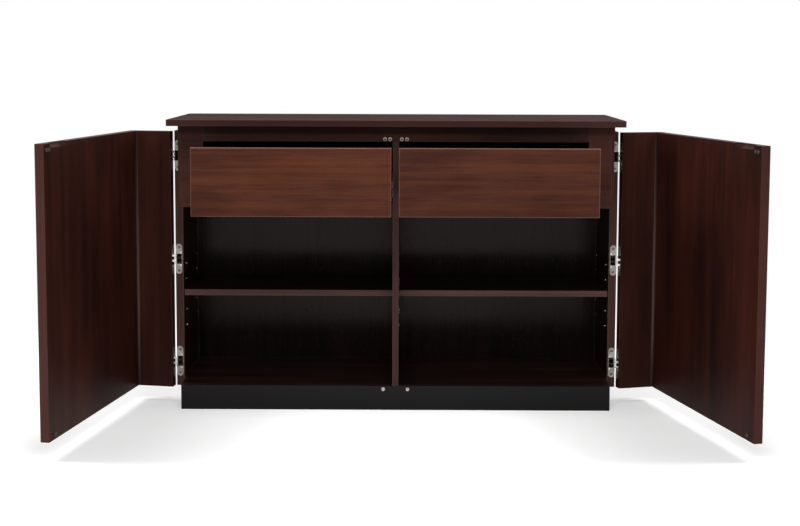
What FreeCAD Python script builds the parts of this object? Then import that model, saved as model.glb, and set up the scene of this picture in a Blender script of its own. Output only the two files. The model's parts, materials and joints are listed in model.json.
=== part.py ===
import FreeCAD, Part

import math
import os

from FreeCAD import Vector

# A sideboard with two L-shaped doors that wrap round its corners. Each door is a short side wing,
# which carries on the side panel when shut, and a long front wing. Behind them a drawer case with
# two plain drawers stands forward over two shelved compartments, on a recessed black plinth.
# Millimetres and degrees. X runs to the right, the fronts face -Y and Z is up. The origin is the
# centre of the plinth's footprint on the floor. Left and right are as seen from the front.

# Small rounds are drawn with a few flat sides, with their corners on the circle
small_round_sides = 12
leaf_end_sides = 8

# Overall sizes
cabinet_width = 1402.0
overall_height = 909.0
side_panel_depth = 308.0
case_projection = 110.0
rear_inset = 6.0

# Top panel, with the shadow gap and the recessed neck below it
top_thickness = 20.0
top_overhang = 1.0
top_rear_overhang = 2.0
shadow_gap = 21.0
neck_inset = 11.0

# Boards
side_panel_thickness = 25.0
carcass_board = 19.0
back_panel_thickness = 8.0
floor_clearance = 50.0
fine_arris = 0.8

# Plinth
plinth_height = 77.0
plinth_board = 18.0
plinth_side_inset = 1.5
plinth_rear_inset = 8.0

# Drawer case
case_side_clearance = 4.0
case_height = 252.0
case_end_board = 8.0
stile_width = 70.0
rail_height = 48.0
deck_thickness = 12.0
deck_setback = 2.0

# Doors
door_thickness = 26.0
door_end_clearance = 1.0
door_front_clearance = 9.0
door_edge_gap = 4.5
door_centre_gap = 3.0
hinge_axis_offset = 1.0
hinge_end_distance = 78.0
left_rest_angle = 99.9
right_rest_angle = 103.9

# Finger scoop in the top inner arris of each door
scoop_radius = 13.0
scoop_length = 106.0
scoop_end_distance = 93.0

# Concealed link hinges
leaf_length = 96.0
leaf_width = 19.6
leaf_thickness = 3.0
leaf_setback = 0.8
leaf_play = 0.1
pocket_length = 33.4
pocket_depth = 21.0
pocket_wall = 0.6
cup_end_wall = 2.5
cup_floor = 1.2
link_axis_distance = 4.2
link_reach = 20.0
link_thickness = 2.2
link_end_play = 0.3
link_gap = 0.4
link_spine_thickness = 3.0
link_spine_width = 7.0
link_count = 4
screw_spacing = 75.0
screw_head_radius = 4.4
screw_head_depth = 2.4
screw_shank_radius = 2.0
screw_length = 16.0

# Catches
catch_radius = 5.8
catch_recess_radius = 2.8
catch_recess_depth = 1.2
magnet_projection = 5.0
magnet_positions = (18.0, 34.0)
magnet_rise = 8.0
catch_gap = 0.5
bumper_position = 38.0
bumper_drop = 10.5

# Shelves and their pins
shelf_thickness = 19.0
shelf_height = 264.0
shelf_end_gap = 1.5
shelf_setback = 5.0
shelf_rear_gap = 4.0
pin_radius = 2.5
pin_depth = 8.0
pin_nose_radius = 3.5
pin_nose_length = 9.0
pin_collar_radius = 4.6
pin_collar_length = 1.2
pin_front_setback = 56.0
pin_rear_setback = 22.0
pin_hole_pitch = 50.0
pin_holes_each_way = 2
pin_play = 0.05
pin_hole_spare_depth = 0.5

# Drawers
drawer_reveal = 2.0
drawer_front_thickness = 19.0
drawer_front_arris = 1.6
rest_extension = 270.0
box_rise = 21.0
box_top_clearance = 36.0
box_board = 14.0
box_bottom_thickness = 6.0
box_bottom_rise = 8.0
groove_depth = 7.0
groove_play = 0.3

# Side runners of the drawers
runner_rear_clearance = 35.0
runner_depth = 12.7
runner_height = 45.0
runner_rise = 32.5
runner_metal = 1.2
runner_play = 0.5
case_flange_share = 0.75
mid_flange_share = 0.19
mid_web_share = 0.42
drawer_flange_share = 0.58

# Planes of the carcass
half_width = cabinet_width / 2
plinth_depth = case_projection + side_panel_depth - plinth_rear_inset
front_y = -plinth_depth / 2
plinth_rear_y = plinth_depth / 2
hinge_y = front_y + case_projection
rear_y = hinge_y + side_panel_depth
back_panel_y = rear_y - rear_inset - back_panel_thickness
side_inner_x = half_width - side_panel_thickness
case_half = side_inner_x - case_side_clearance
plinth_half = case_half - plinth_side_inset
top_underside = overall_height - top_thickness
panel_top = top_underside - shadow_gap
board_bottom = plinth_height - carcass_board
partition_face = carcass_board / 2

# Planes of the drawer case
case_bottom = top_underside - case_height
case_end_face = case_half - case_end_board
opening_edge = case_end_face - stile_width
opening_top = top_underside - rail_height
face_rear_y = front_y + carcass_board
deck_top = case_bottom + deck_thickness
deck_front_y = front_y + drawer_front_thickness + deck_setback

# Planes of the shut doors, and the line that the left one turns about
door_bottom = floor_clearance + door_end_clearance
door_top = panel_top - door_end_clearance
door_inner_x = -half_width + door_thickness
door_inner_y = front_y - door_front_clearance
door_outer_y = door_inner_y - door_thickness
door_edge_y = hinge_y - door_edge_gap
door_free_x = -door_centre_gap / 2
axis_x = -half_width - hinge_axis_offset
axis_y = hinge_y - door_edge_gap / 2
hinge_heights = (
    door_bottom + hinge_end_distance,
    (door_bottom + door_top) / 2,
    door_top - hinge_end_distance,
)
leaf_x = -half_width + leaf_setback + leaf_width / 2

# Places of the catches and the shelves
magnet_z = opening_top + magnet_rise
bumper_z = plinth_height - bumper_drop
strike_projection = door_front_clearance - magnet_projection - catch_gap
shelf_bottom = plinth_height + shelf_height
pin_z = shelf_bottom - pin_nose_radius
pin_columns = (hinge_y + pin_front_setback, back_panel_y - pin_rear_setback)

# Planes of a shut drawer on the right
drawer_rear_y = front_y + drawer_front_thickness
runner_length = back_panel_y - runner_rear_clearance - drawer_rear_y
drawer_low = case_bottom + drawer_reveal
box_inner_x = partition_face + runner_depth
box_outer_x = opening_edge - runner_depth
box_rear_y = drawer_rear_y + runner_length
box_low = drawer_low + box_rise
box_high = opening_top - box_top_clearance
box_floor = box_low + box_bottom_rise
runner_z = box_low + runner_rise

X_AXIS = Vector(1, 0, 0)
Y_AXIS = Vector(0, 1, 0)
Z_AXIS = Vector(0, 0, 1)
ORIGIN = Vector(0, 0, 0)


def write_node(name, *solids):
    """Save one sub-part, a single solid or a group of like pieces."""
    shape = solids[0] if len(solids) == 1 else Part.makeCompound(list(solids))
    shape.exportStep(os.path.join("parts", name + ".step"))
    print(name, len(solids), "valid" if shape.isValid() else "NOT VALID", round(shape.Volume))


def block(low, high):
    """A sharp block between two corners."""
    size = Vector(*high) - Vector(*low)
    return Part.makeBox(size.x, size.y, size.z, Vector(*low))


def board(low, high, arris=fine_arris):
    """A board with its arrises eased."""
    solid = block(low, high)
    return solid.makeChamfer(arris, solid.Edges)


def prism(points, bottom, top):
    """An outline in plan, raised from one height to another."""
    corners = [Vector(x, y, bottom) for x, y in points]
    face = Part.Face(Part.makePolygon(corners + corners[:1]))
    return face.extrude(Z_AXIS * (top - bottom))


def small_round(start, direction, stations):
    """A turned piece with flat sides. A station is a distance along it from its start, and a radius."""
    across = direction.cross(Z_AXIS)
    turns = [math.tau * index / small_round_sides for index in range(small_round_sides)]
    spokes = [Z_AXIS * math.cos(turn) + across * math.sin(turn) for turn in turns]
    rings = []
    for distance, radius in stations:
        centre = start + direction * distance
        rings.append([centre + spoke * radius for spoke in spokes])
    outlines = [rings[0], rings[-1]]
    for near, far in zip(rings, rings[1:]):
        for side in range(small_round_sides):
            outlines.append([near[side - 1], near[side], far[side], far[side - 1]])
    faces = [Part.Face(Part.makePolygon(corners + corners[:1])) for corners in outlines]
    return Part.makeSolid(Part.makeShell(faces)).removeSplitter()


def mirrored(solids):
    """The same pieces on the other side of the cabinet."""
    return [solid.mirror(ORIGIN, X_AXIS) for solid in solids]


def turned(solids, angle):
    """Pieces of the left side, turned open about the left hinge axis."""
    centre = Vector(axis_x, axis_y, 0)
    return [solid.rotated(centre, Z_AXIS, -angle) for solid in solids]


def pulled_out(solids, distance):
    """Pieces of a drawer, moved forward."""
    return [solid.translated(Y_AXIS * -distance) for solid in solids]


# Carcass


def top_panel():
    reach = half_width + top_overhang
    low = (-reach, door_outer_y - top_overhang, top_underside)
    return board(low, (reach, rear_y + top_rear_overhang, overall_height))


def stepped_board(front_half, rear_half, front, rear, bottom, top):
    """A board that widens behind the hinge plane, where the side panels stand."""
    right = [(front_half, front), (front_half, hinge_y), (rear_half, hinge_y), (rear_half, rear)]
    left = [(-x, y) for x, y in reversed(right)]
    return prism(right + left, bottom, top)


def sub_top():
    """It stands on the side panels and holds the top panel clear of them by the shadow gap."""
    rear = rear_y - rear_inset
    neck_half = half_width - neck_inset
    return stepped_board(case_end_face, neck_half, face_rear_y, rear, panel_top, top_underside)


def bottom_board():
    front = front_y + plinth_board
    return stepped_board(case_half, side_inner_x, front, back_panel_y, board_bottom, plinth_height)


def back_panel():
    low = (-side_inner_x, back_panel_y, board_bottom)
    return block(low, (side_inner_x, rear_y - rear_inset, panel_top))


def pin_holes(wall_x, direction):
    """Two columns of blind holes, drilled into a wall from its face."""
    radius = pin_radius + pin_play
    depth = pin_depth + pin_hole_spare_depth
    steps = range(-pin_holes_each_way, pin_holes_each_way + 1)
    places = [(y, pin_z + step * pin_hole_pitch) for y in pin_columns for step in steps]
    stations = [(0, radius), (depth, radius)]
    return [small_round(Vector(wall_x, y, z), X_AXIS * direction, stations) for y, z in places]


def side_panel():
    """The left side panel, with the seats of its hinge leaves and its shelf pin holes."""
    low = (-half_width, hinge_y, floor_clearance)
    panel = board(low, (-side_inner_x, rear_y, panel_top))
    seats = [leaf_seat(height) for height in hinge_heights]
    return panel.cut(seats + case_leaf_screws() + pin_holes(-side_inner_x, -1))


def centre_partition():
    """It stands flush with the drawer case, and is notched for the rail."""
    low = (-partition_face, front_y, plinth_height)
    panel = board(low, (partition_face, back_panel_y, panel_top))
    notch_low = (-carcass_board, front_y - carcass_board, opening_top)
    notch = block(notch_low, (carcass_board, face_rear_y, top_underside))
    return panel.cut([notch] + pin_holes(-partition_face, 1) + pin_holes(partition_face, -1))


# Plinth


def plinth_front():
    low = (-plinth_half, front_y, 0)
    return board(low, (plinth_half, front_y + plinth_board, plinth_height))


def plinth_back():
    low = (-plinth_half, plinth_rear_y - plinth_board, 0)
    return block(low, (plinth_half, plinth_rear_y, board_bottom))


def plinth_bearer(low_x):
    """A board from the front of the plinth to its back."""
    low = (low_x, front_y + plinth_board, 0)
    high = (low_x + plinth_board, plinth_rear_y - plinth_board, board_bottom)
    return block(low, high)


# Drawer case


def case_rail():
    low = (-opening_edge, front_y, opening_top)
    return board(low, (opening_edge, face_rear_y, top_underside))


def case_stile():
    low = (opening_edge, front_y, case_bottom)
    return board(low, (case_end_face, face_rear_y, top_underside))


def case_end():
    """The thin outer cheek, seen from the side when the door is open."""
    low = (case_end_face, front_y, case_bottom)
    return board(low, (case_half, hinge_y, top_underside))


def case_side():
    """The upright behind the stile that carries the outer runner."""
    low = (opening_edge, face_rear_y, deck_top)
    return block(low, (opening_edge + carcass_board, back_panel_y, panel_top))


def case_deck():
    """The floor of one drawer space. Its front edge stays behind the shut drawer front."""
    outline = [
        (partition_face, deck_front_y),
        (opening_edge, deck_front_y),
        (opening_edge, face_rear_y),
        (case_end_face, face_rear_y),
        (case_end_face, hinge_y),
        (side_inner_x, hinge_y),
        (side_inner_x, back_panel_y),
        (partition_face, back_panel_y),
    ]
    return prism(outline, case_bottom, deck_top)


# Shelves


def shelf():
    low = (partition_face + shelf_end_gap, hinge_y + shelf_setback, shelf_bottom)
    high_x = side_inner_x - shelf_end_gap
    return board(low, (high_x, back_panel_y - shelf_rear_gap, shelf_bottom + shelf_thickness))


def shelf_pin(wall_x, y, direction):
    """A pin in its hole, with a collar against the wall and a nose under the shelf."""
    shank = [(-pin_depth, pin_radius), (0, pin_radius)]
    collar = [(0, pin_collar_radius), (pin_collar_length, pin_collar_radius)]
    nose = [(pin_collar_length, pin_nose_radius), (pin_nose_length, pin_nose_radius)]
    return small_round(Vector(wall_x, y, pin_z), X_AXIS * direction, shank + collar + nose)


def shelf_pins():
    """The four pins of the right shelf."""
    walls = ((partition_face, 1), (side_inner_x, -1))
    return [shelf_pin(x, y, direction) for x, direction in walls for y in pin_columns]


# Catches


def disc(x, y, z, length):
    """A round pad on a face that looks along -Y for a positive length, or +Y for a negative."""
    direction = Y_AXIS * (-1 if length > 0 else 1)
    reach = abs(length)
    body = [(0, catch_radius), (reach, catch_radius)]
    recess = [(reach, catch_recess_radius), (reach - catch_recess_depth, catch_recess_radius)]
    return small_round(Vector(x, y, z), direction, body + recess)


def rail_magnets():
    """The magnets of the left door, on the rail."""
    return [disc(-x, front_y, magnet_z, magnet_projection) for x in magnet_positions]


def plinth_bumper():
    return disc(-bumper_position, front_y, bumper_z, magnet_projection)


def door_strikes():
    """The left door's steel discs, opposite the magnets, and its lower pad."""
    discs = [disc(-x, door_inner_y, magnet_z, -strike_projection) for x in magnet_positions]
    return discs + [disc(-bumper_position, door_inner_y, bumper_z, -strike_projection)]


# Concealed link hinges, drawn for the left side with the door shut


def slot_shape(height, half_length, radius, depth):
    """A long plate with round ends, from the hinge plane back into the side panel."""
    centre = Vector(leaf_x, hinge_y, height)
    turns = [math.pi * index / leaf_end_sides for index in range(leaf_end_sides + 1)]
    arc = [X_AXIS * radius * math.cos(turn) + Z_AXIS * radius * math.sin(turn) for turn in turns]
    reach = Z_AXIS * (half_length - radius)
    corners = [centre + reach + point for point in arc] + [centre - reach - point for point in arc]
    return Part.Face(Part.makePolygon(corners + corners[:1])).extrude(Y_AXIS * depth)


def cup_block(height, half_height, half_breadth, depth):
    low = (leaf_x - half_breadth, hinge_y, height - half_height)
    return block(low, (leaf_x + half_breadth, hinge_y + depth, height + half_height))


def leaf_blank(height, play):
    """Plate and cup together. With some play it is the tool that cuts their seat."""
    half_breadth = leaf_width / 2 + play
    plate = slot_shape(height, leaf_length / 2 + play, half_breadth, leaf_thickness + play)
    half_height = pocket_length / 2 + cup_end_wall + play
    cup = cup_block(height, half_height, half_breadth, pocket_depth + cup_floor + play)
    return plate.fuse(cup).removeSplitter()


def leaf_seat(height):
    return leaf_blank(height, leaf_play)


def leaf_screw(height):
    """A countersunk screw, its head flush with the leaf."""
    head = [(0, screw_head_radius), (screw_head_depth, screw_shank_radius)]
    return small_round(Vector(leaf_x, hinge_y, height), Y_AXIS, head + [(screw_length, screw_shank_radius)])


def case_leaf_screws():
    """Two screws in each leaf of the left side panel."""
    offsets = (-screw_spacing / 2, screw_spacing / 2)
    return [leaf_screw(height + offset) for height in hinge_heights for offset in offsets]


def case_leaves():
    """The leaves of the left side panel. Each is a plate with an open cup for the links."""
    pocket = (pocket_length / 2, leaf_width / 2 - pocket_wall, pocket_depth)
    pockets = [cup_block(height, *pocket) for height in hinge_heights]
    blanks = [leaf_blank(height, 0) for height in hinge_heights]
    return [blank.cut(pockets + case_leaf_screws()) for blank in blanks]


def on_the_door(solids):
    """The door's leaves and screws face those of the side panel across the gap."""
    return [solid.mirror(Vector(0, axis_y, 0), Y_AXIS) for solid in solids]


def link_prong(x, bottom, top, side):
    """One flat link arm. Side is 1 into the side panel, -1 into the door."""
    half = link_thickness / 2
    end_y = axis_y + side * link_reach
    near, far = sorted((axis_y, end_y))
    return block((x - half, near, bottom), (x + half, far, top))


def link_set(height, door_slots):
    """Four arms on one spine. Two go into the door's cup and two into the side panel's."""
    x = axis_x + link_axis_distance
    stack = pocket_length - link_end_play * 2
    low = height - stack / 2
    half = link_spine_thickness / 2
    spine_half = link_spine_width / 2
    spine = block((x - half, axis_y - spine_half, low), (x + half, axis_y + spine_half, low + stack))
    pieces = []
    slot = stack / link_count
    for index in range(link_count):
        side = -1 if index % 2 == door_slots else 1
        bottom = low + index * slot + link_gap / 2
        pieces.append(link_prong(x, bottom, bottom + slot - link_gap, side))
    return spine.fuse(pieces).removeSplitter()


def link_sets(rest_angle, door_slots):
    """The links turn half as far as the door."""
    sets = [link_set(height, door_slots) for height in hinge_heights]
    return turned(sets, rest_angle / 2)


# Doors, drawn for the left side and shut


def door_front_panel():
    """The long wing, mitred to the short one, with a finger scoop in its top inner arris."""
    outline = [
        (door_inner_x, door_inner_y),
        (door_free_x, door_inner_y),
        (door_free_x, door_outer_y),
        (-half_width, door_outer_y),
    ]
    panel = prism(outline, door_bottom, door_top)
    mitre_x = door_inner_x + fine_arris
    eased = [edge for edge in panel.Edges if max(point.X for point in edge.Vertexes) > mitre_x]
    return panel.makeChamfer(fine_arris, eased).cut(finger_scoop())


def finger_scoop():
    """A cove with round ends."""
    half_run = scoop_length / 2 - scoop_radius
    centre_x = door_free_x - scoop_end_distance
    ends = [Vector(centre_x + side * half_run, door_inner_y, door_top) for side in (-1, 1)]
    run = Part.makeCylinder(scoop_radius, half_run * 2, ends[0], X_AXIS)
    return run.fuse([Part.makeSphere(scoop_radius, end) for end in ends])


def door_side_panel():
    """The short wing, with the seats of its hinge leaves."""
    outline = [
        (-half_width, door_edge_y),
        (door_inner_x, door_edge_y),
        (door_inner_x, door_inner_y),
        (-half_width, door_outer_y),
    ]
    panel = prism(outline, door_bottom, door_top)
    mitre_y = door_inner_y + fine_arris
    eased = [edge for edge in panel.Edges if max(point.Y for point in edge.Vertexes) > mitre_y]
    seats = [leaf_seat(height) for height in hinge_heights]
    tools = on_the_door(seats + case_leaf_screws())
    return panel.makeChamfer(fine_arris, eased).cut(tools)


def door_pieces(rest_angle):
    """Every piece that turns with the left door, by the name of its node."""
    shut = {
        "front_panel": [door_front_panel()],
        "side_panel": [door_side_panel()],
        "hinge_leaves": on_the_door(case_leaves()),
        "leaf_screws": on_the_door(case_leaf_screws()),
        "strikes": door_strikes(),
    }
    return {name: turned(solids, rest_angle) for name, solids in shut.items()}


# Drawers, drawn for the right side and shut


def drawer_front():
    low = (partition_face + drawer_reveal, front_y, drawer_low)
    high = (opening_edge - drawer_reveal, drawer_rear_y, opening_top - drawer_reveal)
    panel = block(low, high)
    face_edges = [edge for edge in panel.Edges if edge.CenterOfMass.y < front_y + drawer_front_arris]
    return panel.makeChamfer(drawer_front_arris, face_edges)


def bottom_groove():
    """The groove that runs round the inside of the box sides and the box front."""
    low = (box_inner_x + box_board - groove_depth, drawer_rear_y + box_board - groove_depth, box_floor)
    high_x = box_outer_x - box_board + groove_depth
    return block(low, (high_x, box_rear_y, box_floor + box_bottom_thickness + groove_play))


def box_side(low_x):
    low = (low_x, drawer_rear_y, box_low)
    return block(low, (low_x + box_board, box_rear_y, box_high)).cut(bottom_groove())


def box_front():
    low = (box_inner_x + box_board, drawer_rear_y, box_low)
    high = (box_outer_x - box_board, drawer_rear_y + box_board, box_high)
    return block(low, high).cut(bottom_groove())


def box_back():
    """It stands on the box bottom, between the sides."""
    low = (box_inner_x + box_board, box_rear_y - box_board, box_floor + box_bottom_thickness)
    return block(low, (box_outer_x - box_board, box_rear_y, box_high))


def box_bottom():
    inset = box_board - groove_depth + groove_play
    low = (box_inner_x + inset, drawer_rear_y + inset, box_floor)
    return block(low, (box_outer_x - inset, box_rear_y, box_floor + box_bottom_thickness))


def runner_member(profile, wall_x, direction):
    """A rolled steel section along Y. Its profile gives depths from the wall, and heights."""
    places = [(wall_x + direction * depth, runner_z + height) for depth, height in profile]
    corners = [Vector(x, drawer_rear_y, z) for x, z in places]
    face = Part.Face(Part.makePolygon(corners + corners[:1]))
    return face.extrude(Y_AXIS * runner_length)


def channel_profile(web, lip, half_height):
    """A channel with its web at one depth and its flanges reaching to another."""
    inner = web + runner_metal * (1 if lip > web else -1)
    flat = half_height - runner_metal
    upper = [(web, half_height), (lip, half_height), (lip, flat), (inner, flat)]
    return upper + [(depth, -height) for depth, height in reversed(upper)]


def web_profile(web, near, far, half_height):
    """A web with flanges on both sides, for the member in the middle."""
    flat = half_height - runner_metal
    web_far = web + runner_metal
    upper = [(web, flat), (near, flat), (near, half_height)]
    upper += [(far, half_height), (far, flat), (web_far, flat)]
    return upper + [(depth, -height) for depth, height in reversed(upper)]


def runner_pair(profile):
    """The same member of both runners of the right drawer."""
    return [runner_member(profile, partition_face, 1), runner_member(profile, opening_edge, -1)]


def runner_case_members():
    return runner_pair(channel_profile(0, runner_depth * case_flange_share, runner_height / 2))


def runner_mid_members():
    half_height = runner_height / 2 - runner_metal - runner_play
    near = runner_depth * mid_flange_share
    far = runner_depth * case_flange_share
    return runner_pair(web_profile(runner_depth * mid_web_share, near, far, half_height))


def runner_drawer_members():
    half_height = runner_height / 2 - (runner_metal + runner_play) * 2
    return runner_pair(channel_profile(runner_depth, runner_depth * drawer_flange_share, half_height))


def drawer_pieces():
    """Every piece that slides with the right drawer, by the name of its node."""
    shut = {
        "front": [drawer_front()],
        "box_front": [box_front()],
        "box_inner_side": [box_side(box_inner_x)],
        "box_outer_side": [box_side(box_outer_x - box_board)],
        "box_back": [box_back()],
        "box_bottom": [box_bottom()],
        "runner_members": runner_drawer_members(),
    }
    return {name: pulled_out(solids, rest_extension) for name, solids in shut.items()}


# Every node, with the pieces of the right side mirrored from the left or the other way round
os.makedirs("parts", exist_ok=True)

write_node("top_panel", top_panel())
write_node("sub_top", sub_top())
write_node("bottom_board", bottom_board())
write_node("back_panel", back_panel())
write_node("centre_partition", centre_partition())
write_node("plinth_front", plinth_front())
write_node("plinth_back", plinth_back())
write_node("plinth_end_left", plinth_bearer(-plinth_half))
write_node("plinth_end_right", plinth_bearer(plinth_half - plinth_board))
write_node("plinth_brace", plinth_bearer(-plinth_board / 2))
write_node("drawer_case_rail", case_rail())

left_side = {"side_panel": [side_panel()], "case_hinge_leaves": case_leaves()}
for name, solids in left_side.items():
    write_node(name + "_left", *solids)
    write_node(name + "_right", *mirrored(solids))

right_side = {
    "drawer_case_stile": case_stile(),
    "drawer_case_end": case_end(),
    "drawer_case_side": case_side(),
    "drawer_case_deck": case_deck(),
    "shelf": shelf(),
}
for name, solid in right_side.items():
    write_node(name + "_left", *mirrored([solid]))
    write_node(name + "_right", solid)

both_sides = {
    "case_leaf_screws": case_leaf_screws(),
    "shelf_pins": shelf_pins(),
    "rail_magnets": rail_magnets(),
    "plinth_bumpers": [plinth_bumper()],
    "runner_case_members": runner_case_members(),
}
for name, solids in both_sides.items():
    write_node(name, *solids, *mirrored(solids))

for name, solids in door_pieces(left_rest_angle).items():
    write_node("left_door_" + name, *solids)
for name, solids in door_pieces(right_rest_angle).items():
    write_node("right_door_" + name, *mirrored(solids))
write_node("left_hinge_links", *link_sets(left_rest_angle, 1))
write_node("right_hinge_links", *mirrored(link_sets(right_rest_angle, 0)))

for name, solids in drawer_pieces().items():
    write_node("left_drawer_" + name, *mirrored(solids))
    write_node("right_drawer_" + name, *solids)
mid_members = pulled_out(runner_mid_members(), rest_extension / 2)
write_node("left_runner_mid_members", *mirrored(mid_members))
write_node("right_runner_mid_members", *mid_members)
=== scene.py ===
# %% [markdown]
# # A sideboard with wrap-round doors
#
# The CAD model already has every board, hinge and runner at its place. This lesson adds what a
# camera needs: the finish of each board and fitting, the small fittings that the CAD model keeps
# plain, a pale studio, and the view of the photograph. X runs to the right, the fronts face -Y and Z
# is up. Left and right are as seen from the front. Lengths are in metres, as Blender has them, and
# the fittings' sizes and places are written in millimetres.

# %% Load the frame
import json
import math

import bmesh
import bpy
import numpy as np
from mathutils import Matrix, Vector


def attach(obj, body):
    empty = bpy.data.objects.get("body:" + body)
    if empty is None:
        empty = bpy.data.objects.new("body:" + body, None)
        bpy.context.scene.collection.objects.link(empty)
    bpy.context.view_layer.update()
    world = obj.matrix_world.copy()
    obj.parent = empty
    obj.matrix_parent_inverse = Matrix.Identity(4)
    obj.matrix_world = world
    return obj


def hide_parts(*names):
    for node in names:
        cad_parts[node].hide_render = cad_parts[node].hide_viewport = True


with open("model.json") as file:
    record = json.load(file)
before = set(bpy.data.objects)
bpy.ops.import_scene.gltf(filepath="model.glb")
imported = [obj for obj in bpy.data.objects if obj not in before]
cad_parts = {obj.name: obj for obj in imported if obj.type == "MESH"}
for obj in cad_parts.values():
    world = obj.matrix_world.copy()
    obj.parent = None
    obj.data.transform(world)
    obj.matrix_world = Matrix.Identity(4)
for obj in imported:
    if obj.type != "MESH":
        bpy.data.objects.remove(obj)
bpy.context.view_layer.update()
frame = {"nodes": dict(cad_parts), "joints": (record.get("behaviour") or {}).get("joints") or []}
nodes = frame["nodes"]

scene = bpy.context.scene
scene.view_settings.view_transform = "Standard"


# %% [markdown]
# ## The doors' shut places
#
# The doors stand open by two different angles. Their grain, their arrises and the fittings on them
# are easiest to place with the door shut, so each door's hinge line and angle are read from the
# joints, and a matrix carries any point of the shut left door to its place in the photograph. The
# right side is the left one mirrored, and only its angle differs.

# %% Hinge lines and rest angles
joints = {joint["name"]: joint for joint in frame["joints"]}
SIDES = {"left": -1, "right": 1}
swings = {side: joints[side + "_door_swing"] for side in SIDES}
REST_DEGREES = {side: abs(swing["range_deg"][0]) for side, swing in swings.items()}
HINGE_LINE = {side: Vector(swing["pos_m"]) for side, swing in swings.items()}
for side in SIDES:
    print(side, "door stands", REST_DEGREES[side], "degrees open, about", HINGE_LINE[side][:])


def opened(side, share=1.0):
    """The matrix from the shut pose to the photograph's. A share of half is for the links."""
    axis = Matrix.Translation(HINGE_LINE[side])
    angle = math.radians(REST_DEGREES[side]) * SIDES[side] * share
    return axis @ Matrix.Rotation(angle, 4, "Z") @ axis.inverted()


# %% [markdown]
# ## Shader maths as plain expressions
#
# A procedural finish is a formula of the place on the piece. Wiring dozens of Math nodes by hand
# hides that formula, so one small class wraps a socket, and Python's own operators add the nodes.

# %% A socket that can be added and multiplied
class Field:
    """A number that varies over a surface."""

    def __init__(self, tree, socket):
        self.tree = tree
        self.socket = socket

    def math(self, operation, *values):
        return self.tree.node("Math", values, operation=operation)

    def __add__(self, other):
        return self.math("ADD", self, other)

    def __sub__(self, other):
        return self.math("SUBTRACT", self, other)

    def __rsub__(self, other):
        return self.math("SUBTRACT", other, self)

    def __mul__(self, other):
        return self.math("MULTIPLY", self, other)

    __radd__ = __add__
    __rmul__ = __mul__

    def least(self, other):
        return self.math("MINIMUM", self, other)

    def most(self, other):
        return self.math("MAXIMUM", self, other)

    def unsigned(self):
        return self.math("ABSOLUTE", self)

    def step(self, low, high):
        """0 below the first value, 1 above the second, and a smooth rise between them."""
        settings = {"interpolation_type": "SMOOTHSTEP"}
        return self.tree.node("MapRange", {0: self, 1: low, 2: high}, **settings)


# %% [markdown]
# Every other node comes from one method: a type, the settings, and what goes into its sockets.
# The world has a tree of nodes as a material has, so both share this class.

# %% A tree of nodes
class Formula:
    """A tree of shader nodes, emptied first and then written as a formula."""

    def __init__(self, tree):
        self.tree = tree
        self.tree.nodes.clear()

    def node(self, kind, sockets=(), output=0, **settings):
        """Makes a node and gives its output. The node that ends a tree has none."""
        made = self.tree.nodes.new("ShaderNode" + kind)
        for name, value in settings.items():
            setattr(made, name, value)
        pairs = sockets.items() if isinstance(sockets, dict) else enumerate(sockets)
        for key, value in pairs:
            if isinstance(value, Field):
                self.tree.links.new(value.socket, made.inputs[key])
            else:
                made.inputs[key].default_value = value
        return Field(self, made.outputs[output]) if made.outputs else None


# %% [markdown]
# A board or a fitting has a finish: a tree that belongs to one material, with a blend, a noise and
# one Principled shader at its end.

# %% The tree of one finish
class Finish(Formula):
    """A material that is written as a formula."""

    def __init__(self, name):
        self.material = bpy.data.materials.new(name)
        self.material.use_nodes = True
        super().__init__(self.material.node_tree)

    def mix(self, amount, first, second, **settings):
        """A blend of two colours. The Mix node keeps its colour sockets at 6 and 7."""
        return self.node("Mix", {0: amount, 6: first, 7: second}, 2, data_type="RGBA", **settings)

    def noise(self, place, detail=2.0, roughness=0.5, distortion=0.0, scale=1.0):
        sockets = {
            "Vector": place,
            "Scale": scale,
            "Detail": detail,
            "Roughness": roughness,
            "Distortion": distortion,
        }
        return self.node("TexNoise", sockets)

    def surface(self, **sockets):
        """The Principled shader, with its sockets named with spaces as underscores."""
        named = {name.replace("_", " "): value for name, value in sockets.items()}
        self.node("OutputMaterial", {"Surface": self.node("BsdfPrincipled", named)})
        return self.material


def colour(red, green, blue):
    """A colour as a screen shows it, 0 to 255, turned into the linear values of a shader."""
    parts = [value / 255 for value in (red, green, blue)]
    linear = [v / 12.92 if v <= 0.04045 else ((v + 0.055) / 1.055) ** 2.4 for v in parts]
    return (*linear, 1.0)


def give(node_name, material):
    """The CAD node keeps its mesh, and every one of its slots takes the finish."""
    mesh = nodes[node_name].data
    mesh.materials.clear()
    mesh.materials.append(material)


# %% [markdown]
# ## Where a board's grain runs and where its arrises are
#
# No two sheets of veneer are alike, so each board samples the grain at a place of its own. The
# pattern must also follow the board: a door's grain is worked out as if it were shut, which a
# Mapping node does. The arrises show as thin pale lines, partly stain rubbed through and partly a
# painted highlight on the rounded edge. On a box-shaped board the distance to the second nearest
# pair of faces is small only there, which gives a mask from the place alone.

# %% Place on a board
ARRIS_WIDE = (0.0006, 0.0024)


def shut_box(node_name, matrix):
    """The lowest and highest corners of a node, once it is back in its shut place."""
    back = matrix.inverted()
    corners = np.array([back @ vertex.co for vertex in nodes[node_name].data.vertices])
    return corners.min(0), corners.max(0)


def board_place(finish, matrix):
    """The place on the board in its shut pose, as a vector and as three numbers."""
    back = matrix.inverted()
    sockets = {
        "Vector": finish.node("TexCoord", (), "Object"),
        "Location": back.to_translation(),
        "Rotation": back.to_euler(),
    }
    place = finish.node("Mapping", sockets)
    return place, [finish.node("SeparateXYZ", [place], axis) for axis in ("X", "Y", "Z")]


def face_gaps(axes, low, high):
    """How far a point is from the nearer of the board's two faces, along each axis."""
    ends = zip(axes, low, high)
    return [(axis - float(bottom)).least(float(top) - axis) for axis, bottom, top in ends]


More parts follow.
